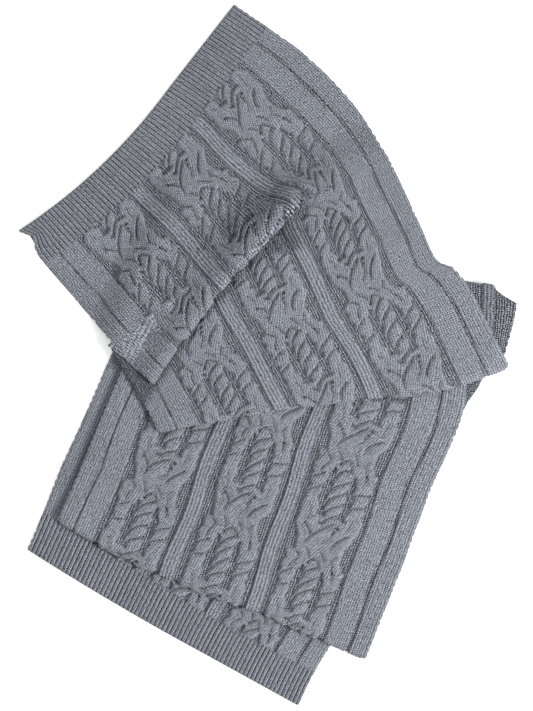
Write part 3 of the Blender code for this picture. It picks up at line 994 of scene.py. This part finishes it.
def upper_part(name, u):
    path, heights, loud, shade, (crest, root, fold) = upper_surface(u)
    end_rib = BEFORE_PLEAT[1].knit_left - path[:, :, 2]
    keep = ((crest - FOLD_MARGIN, root + FOLD_MARGIN, FOLD_BACK_STEP),
            (fold - FOLD_MARGIN, len(path), FOLD_BACK_STEP))
    return finish_cloth(name, path, heights, u * WIDTH, end_rib, loud,
                        sparse(len(path), BACK_STEP, keep), sparse(len(u), BACK_STEP), shade=shade)


def middle_part(name, u):
    rows = row_places(MIDDLE_COURSES, (COARSE_GRID, GRID, GRID, GRID))
    path = smooth_table(on_courses(MIDDLE_COURSES, u), rows)
    heights = WALL / 2 + MIDDLE * PLY + fold_swell(path)
    below = np.full(len(u), WALL / 2 + LOWER_RETURN * PLY)
    path, heights, loud, fold = folded_end(path, heights, u * WIDTH, below, ROLL_REACH)
    keep = ((fold - FOLD_MARGIN, len(path), FOLD_BACK_STEP), (0, COVERED_ROWS, 1))
    return finish_cloth(name, path, heights, u * WIDTH, NO_END_RIB, loud,
                        sparse(len(path), BACK_STEP, keep), sparse(len(u), BACK_STEP))


def lower_part(name, u):
    beside_middle = LOWER_EDGE_GRID if u[0] == 0 else COARSE_GRID
    rows = row_places(LOWER_COURSES, (COARSE_GRID, beside_middle, LOWER_GRID, GRID, GRID))
    path = smooth_table(on_courses(LOWER_COURSES, u), rows)
    heights = np.full(path.shape[:2], WALL / 2 + LOWER * PLY)
    end_rib = path[:, :, 2] - LOWER_COURSES[-2].knit_left
    return finish_cloth(name, path, heights, u * WIDTH, end_rib, np.ones(heights.shape),
                        sparse(len(path), BACK_STEP), sparse(len(u), BACK_STEP))


def return_piece(name, courses, layer, slope, width):
    """What shows of a return: wrong side up, its right edge the scarf's, folded at its last course."""
    u = np.linspace(0, 1, round(width / GRID) + 1)
    path = smooth_table(on_courses(courses, u), row_places(courses, GRID))
    heights = layer_height(path[..., 0], path[..., 1], layer, 0, slope)
    below = np.maximum(heights[-1] - RETURN_DROP, WALL / 2)
    across = WIDTH - width * (1 - u)
    path, heights, loud, fold = folded_end(path, heights, across, below, RETURN_REACH)
    keep = ((fold - RETURN_MARGIN, len(path), FOLD_BACK_STEP),)
    return finish_cloth(name, path, heights, across, NO_END_RIB, loud,
                        sparse(len(path), RETURN_BACK_STEP, keep), sparse(len(u), RETURN_BACK_STEP),
                        wrong_side=True, shade=RETURN_DARK)


def rounded_outline(layer):
    """Plan outline of a hidden layer with round corners."""
    corners = [np.array(corner, float) for corner in layer[1:]]
    outline = []
    for k, corner in enumerate(corners):
        before = corners[k - 1]
        after = corners[(k + 1) % len(corners)]
        start = corner + unit(before - corner) * HIDDEN_CORNER
        end = corner + unit(after - corner) * HIDDEN_CORNER
        for t in np.linspace(0, 1, CORNER_POINTS):
            outline.append(mix(mix(start, corner, t), mix(corner, end, t), t))
        leave = after + unit(corner - after) * HIDDEN_CORNER
        for t in np.linspace(0, 1, SIDE_POINTS + 2)[1:-1]:
            outline.append(mix(end, leave, t))
    return np.array(outline)


def core_piece():
    """The layers that never show, as flat pads with rounded rims, one on another."""
    pads = []
    for layer in HIDDEN_LAYERS:
        outline = rounded_outline(layer)
        bpy.ops.object.select_all(action="DESELECT")
        bpy.ops.mesh.primitive_cylinder_add(vertices=len(outline), radius=1.0, depth=1.0)
        pad = bpy.context.object
        for vert in pad.data.vertices:
            turn = math.atan2(vert.co.y, vert.co.x)
            place = outline[round(-turn / (2 * math.pi) * len(outline)) % len(outline)]
            height = layer.layer * PLY + (WALL if vert.co.z > 0 else 0.0)
            vert.co = (place[0] * MM, place[1] * MM, height * MM)
        rim = pad.modifiers.new("Rounded rim", "BEVEL")
        rim.width = HIDDEN_ROUNDING * MM
        rim.segments = RIM_STEPS
        bpy.ops.object.modifier_apply(modifier=rim.name)
        pads.append(pad)
    bpy.ops.object.select_all(action="DESELECT")
    for pad in pads:
        pad.select_set(True)
    bpy.context.view_layer.objects.active = pads[0]
    bpy.ops.object.join()
    core = pads[0]
    core.name = "hidden_layers"
    core.data.name = "hidden_layers"
    mesh = core.data
    stitches = stitch_map(mesh)
    for loop in mesh.loops:
        place = mesh.vertices[loop.vertex_index].co / MM
        stitches.data[loop.index].uv = (place.x / STITCH_WIDTH, (place.y + place.z) / STITCH_HEIGHT)
    for mark in ("purl", "hollow"):
        mesh.attributes.new(mark, "FLOAT", "POINT")
    bpy.ops.object.shade_smooth_by_angle(angle=math.radians(CORE_SMOOTH_ANGLE))
    return core


# ---------------------------------------------------------------------------------------------
# Materials.

class Socket:
    """A shader socket that can be written as part of an expression."""

    def __init__(self, nodes, socket):
        self.nodes = nodes
        self.socket = socket

    def node(self, kind, settings=None, inputs=None, output=0):
        """Adds a node: its settings first, then the values or links of its sockets."""
        made = self.nodes.new(kind)
        for key, value in (settings or {}).items():
            setattr(made, key, value)
        for key, value in (inputs or {}).items():
            if isinstance(value, Socket):
                self.nodes.id_data.links.new(value.socket, made.inputs[key])
            else:
                made.inputs[key].default_value = value
        return Socket(self.nodes, made.outputs[output])

    def maths(self, operation, *others):
        return self.node("ShaderNodeMath", {"operation": operation}, dict(enumerate((self, *others))))

    def __add__(self, other):
        return self.maths("ADD", other)

    __radd__ = __add__

    def __sub__(self, other):
        return self.maths("SUBTRACT", other)

    def __rsub__(self, other):
        return self.node("ShaderNodeMath", {"operation": "SUBTRACT"}, {0: other, 1: self})

    def __mul__(self, other):
        return self.maths("MULTIPLY", other)

    __rmul__ = __mul__


WHITE = (1.0, 1.0, 1.0, 1.0)
FLOOR_PALE = (0.90, 0.90, 0.90, 1.0)
FLOOR_GLOW = 0.26

# The yarn's tone, from the deep colour at 0 to the pale one at 1.
SLATE_DEEP = (0.006, 0.007, 0.009, 1.0)
SLATE_PALE = (0.310, 0.333, 0.386, 1.0)
TONE = 0.32
STITCH_TONE = 1.6         # painted shade and highlight: how much the lower and higher parts of a stitch differ in tone
STITCH_MIDDLE = 0.6       # and the height at which they have the yarn's own tone, lower parts darker and higher ones lighter
FUZZ_TONE = 1.3
CLOUD_TONE = 0.16
HOLLOW_TONE = 0.42        # painted shade: taken off where the hollow mark is
PURL_TONE = 0.03

# The stitches' heights, of which the bump shows this much.
FUZZ_SCALE = 640.0
WANDER_SCALE = 260.0
CLOUD_SCALE = 14.0
WALE_WANDER = 1.0         # no stitch is quite in line
COURSE_WANDER = 1.5
LEG_SLANT = 1.1           # the two legs of a stitch make a V
KNIT_FLOOR, COLUMN_HEIGHT, LEG_HEIGHT = 0.20, 0.34, 0.46
PURL_MIDDLE, PURL_HEIGHT = 0.54, 0.50
STITCH_BUMP, FUZZ_BUMP = 0.8, 0.3
BUMP_STRENGTH = 0.9
BUMP_DEPTH = 0.0014


def knit_material(name):
    material = bpy.data.materials.new(name)
    material.use_nodes = True
    nodes = material.node_tree.nodes
    shader = nodes["Principled BSDF"]
    start = Socket(nodes, None)
    place = start.node("ShaderNodeTexCoord", None, None, 3)
    fuzz = start.node("ShaderNodeTexNoise", None, {"Vector": place, "Scale": FUZZ_SCALE, "Detail": 2.0})
    wander = start.node("ShaderNodeTexNoise", None, {"Vector": place, "Scale": WANDER_SCALE, "Detail": 1.0})
    cloud = start.node("ShaderNodeTexNoise", None, {"Vector": place, "Scale": CLOUD_SCALE, "Detail": 3.0})
    stitches = start.node("ShaderNodeUVMap", {"uv_map": "Stitches"})
    split = start.node("ShaderNodeSeparateXYZ", None, {0: stitches})
    wale = split + (wander - 0.5) * WALE_WANDER
    course = Socket(nodes, split.socket.node.outputs[1]) + (wander - 0.5) * COURSE_WANDER
    purl = start.node("ShaderNodeAttribute", {"attribute_name": "purl"}, None, 2)
    # the hollow mark holds painted shade
    hollow = start.node("ShaderNodeAttribute", {"attribute_name": "hollow"}, None, 2)

    in_wale = wale.maths("FRACT")
    side = (in_wale - 0.5).maths("ABSOLUTE")
    leg = (course + side * LEG_SLANT).maths("FRACT")
    leg_round = (leg * math.pi).maths("SINE")
    column_round = (in_wale * math.pi).maths("SINE")
    knit_height = KNIT_FLOOR + column_round * COLUMN_HEIGHT + leg_round * LEG_HEIGHT
    column_dots = (wale * math.pi * 2).maths("COSINE")
    row_dots = ((course + wale * 0.5) * math.pi * 2).maths("COSINE")
    purl_height = PURL_MIDDLE + (column_dots + row_dots) * PURL_HEIGHT
    stitch = start.node("ShaderNodeMix", {"data_type": "FLOAT"},
                        {0: purl, 2: knit_height, 3: purl_height})

    # painted shade and highlight from the stitches' heights, with random fuzz and mottle
    stitch_shade_and_mottle = (stitch - STITCH_MIDDLE) * STITCH_TONE + (fuzz - 0.5) * FUZZ_TONE + (cloud - 0.5) * CLOUD_TONE
    tone = TONE + stitch_shade_and_mottle - hollow * HOLLOW_TONE + purl * PURL_TONE
    shaded = start.node("ShaderNodeMix", {"data_type": "RGBA"},
                        {0: tone, 6: SLATE_DEEP, 7: SLATE_PALE}, 2)
    links = material.node_tree.links
    links.new(shaded.socket, shader.inputs["Base Color"])
    height = stitch * STITCH_BUMP + fuzz * FUZZ_BUMP
    bump = start.node("ShaderNodeBump", None,
                      {"Height": height, "Strength": BUMP_STRENGTH, "Distance": BUMP_DEPTH})
    links.new(bump.socket, shader.inputs["Normal"])
    shader.inputs["Roughness"].default_value = 0.93
    shader.inputs["Specular IOR Level"].default_value = 0.25
    shader.inputs["Sheen Weight"].default_value = 0.12
    shader.inputs["Sheen Roughness"].default_value = 0.6
    return material


def floor_material():
    material = bpy.data.materials.new("pale_floor")
    material.use_nodes = True
    shader = material.node_tree.nodes["Principled BSDF"]
    shader.inputs["Base Color"].default_value = FLOOR_PALE
    shader.inputs["Emission Color"].default_value = WHITE
    shader.inputs["Emission Strength"].default_value = FLOOR_GLOW
    shader.inputs["Roughness"].default_value = 0.9
    shader.inputs["Specular IOR Level"].default_value = 0.1
    return material


# ---------------------------------------------------------------------------------------------
# The scene.

def wear(piece, material):
    piece.data.materials.clear()
    piece.data.materials.append(material)


def declare(pieces, node, flats):
    """Gives the pieces of one stretch the knit, attaches them to the root and hides the part that they
    stand for. flats is not used.
    """
    for piece, flat in zip(pieces, flats):
        wear(piece, KNIT)
        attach(piece, "root")
        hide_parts(node)


# In metres, but for the lens and its sensor, which are in millimetres.
FLOOR_SIZE = 6.0
FLOOR_DROP = 0.0005
LENS = 150.0
SENSOR = 36.0
FRAME_HEIGHT = 0.742      # the camera takes in this length
FRAME_LEVEL = 0.008       # at this height above the table
STUDIO_LIGHT = 0.75

KNIT = knit_material("cotton_cable_knit")
part_widths = [(end - start) * WIDTH * MM for start, end in zip(SEAMS, SEAMS[1:])]
upper = seamed("upper", upper_part)
middle = seamed("middle", middle_part)
lower = seamed("lower", lower_part)
upper_return = return_piece("upper_return_cloth", UPPER_RETURN_COURSES,
                            UPPER_RETURN, RETURN_SLOPE, RETURN_WIDTH)
lower_return = return_piece("lower_return_cloth", LOWER_RETURN_COURSES,
                            LOWER_RETURN, POINT_SLOPE, POINT_WIDTH)
core = core_piece()
wear(core, KNIT)
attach(core, "root")
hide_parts("folded_core")
declare(lower, "lower_stretch", zip(part_widths, (0.40, 0.42, 0.43)))
declare(middle, "middle_stretch", zip(part_widths, (0.28, 0.35, 0.40)))
declare(upper, "upper_stretch", zip(part_widths, (0.52, 0.50, 0.48)))
declare([upper_return], "upper_return", ((0.068, 0.09),))
declare([lower_return], "lower_return", ((0.034, 0.06),))

bpy.ops.object.select_all(action="DESELECT")
bpy.ops.mesh.primitive_plane_add(size=FLOOR_SIZE, location=(0, 0, -FLOOR_DROP))
floor = bpy.context.object
floor.name = "floor"
floor.data.materials.append(floor_material())

camera_data = bpy.data.cameras.new("camera")
camera_data.lens = LENS
camera_data.sensor_width = SENSOR
camera = bpy.data.objects.new("camera", camera_data)
bpy.context.collection.objects.link(camera)
camera.location = (0.0, 0.0, FRAME_HEIGHT * LENS / SENSOR + FRAME_LEVEL)
bpy.context.scene.camera = camera


def soft_light(name, place, size, watts):
    light_data = bpy.data.lights.new(name, "AREA")
    light_data.shape = "DISK"
    light_data.size = size
    light_data.energy = watts
    light = bpy.data.objects.new(name, light_data)
    bpy.context.collection.objects.link(light)
    light.location = place
    toward = -light.location
    light.rotation_euler = toward.to_track_quat("-Z", "Y").to_euler()


soft_light("key", place=(1.7, -0.6, 1.7), size=0.8, watts=87.0)
soft_light("fill", place=(-0.6, 1.2, 1.8), size=1.6, watts=6.0)
world = bpy.data.worlds.new("studio")
world.use_nodes = True
world.node_tree.nodes["Background"].inputs["Color"].default_value = WHITE
world.node_tree.nodes["Background"].inputs["Strength"].default_value = STUDIO_LIGHT
bpy.context.scene.world = world
bpy.context.scene.view_settings.view_transform = "Standard"
